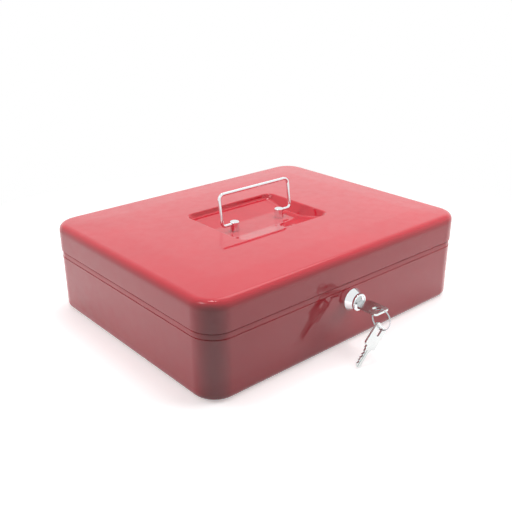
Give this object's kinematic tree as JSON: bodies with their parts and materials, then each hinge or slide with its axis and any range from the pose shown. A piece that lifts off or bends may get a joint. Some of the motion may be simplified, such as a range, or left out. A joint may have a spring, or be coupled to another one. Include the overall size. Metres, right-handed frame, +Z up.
{
  "type": "cash box",
  "caption": "Lockable steel cash box with a rear-hinged lid, a sunk folding carry handle, keys on a split ring and a coin tray.",
  "frame": {"origin": "middle of the flat underside, on the surface the box stands on", "axes": "+X along the width to the right as seen from the lock side, +Y to the back where the hinges are, +Z up"},
  "size_m": [0.3, 0.2828, 0.1118],
  "materials": {
    "red_paint": "gloss",
    "chrome": "polished",
    "nickel": "satin",
    "zinc": "satin",
    "brass": "satin",
    "dark_plastic": "matte"
  },
  "bodies": {
    "base": {"base_shell": "red_paint", "tray_rails": "red_paint", "lock_trim_ring": "chrome", "lock_body": "chrome", "lock_nut": "zinc", "hinge_base_leaves": "red_paint", "hinge_base_rivets": "zinc", "hinge_pins": "zinc"},
    "lid": {"lid_shell": "red_paint", "hinge_lid_leaves": "red_paint", "hinge_lid_rivets": "zinc", "strike_bracket": "zinc", "handle_posts": "chrome", "post_screws": "zinc", "post_washers": "zinc"},
    "handle": {"carry_handle": "chrome"},
    "plug": {"lock_plug": "chrome", "lock_wafers": "brass", "lock_cam": "zinc", "cam_screw": "zinc"},
    "key": {"key": "nickel"},
    "ring": {"split_ring": "nickel"},
    "spare": {"spare_key": "nickel"},
    "tray": {"coin_tray": "dark_plastic"}
  },
  "joints": [
    {"name": "lid_hinge", "type": "hinge", "parent": "base", "child": "lid", "pos_m": [0, 0.1212, 0.058], "axis": [-1, 0, 0], "range_deg": [0, 105]},
    {"name": "handle_swing", "type": "hinge", "parent": "lid", "child": "handle", "pos_m": [0, 0.002, 0.0818], "axis": [1, 0, 0], "range_deg": [-86, 102]},
    {"name": "lock_turn", "type": "hinge", "parent": "base", "child": "plug", "pos_m": [0, -0.1265, 0.041], "axis": [0, 1, 0], "range_deg": [0, 90]},
    {"name": "key_slide", "type": "slide", "parent": "plug", "child": "key", "axis": [0, -1, 0], "range_m": [0, 0.0175]},
    {"name": "ring_swing", "type": "hinge", "parent": "key", "child": "ring", "pos_m": [0, -0.1492, 0.041], "axis": [-1, 0, 0], "range_deg": [-5, 60]},
    {"name": "spare_swing", "type": "hinge", "parent": "ring", "child": "spare", "pos_m": [0, -0.1492, 0.02515], "axis": [0, 1, 0], "range_deg": [0, 45]},
    {"name": "tray_lift", "type": "slide", "parent": "base", "child": "tray", "axis": [0, 0, 1], "range_m": [0, 0.012]}
  ]
}
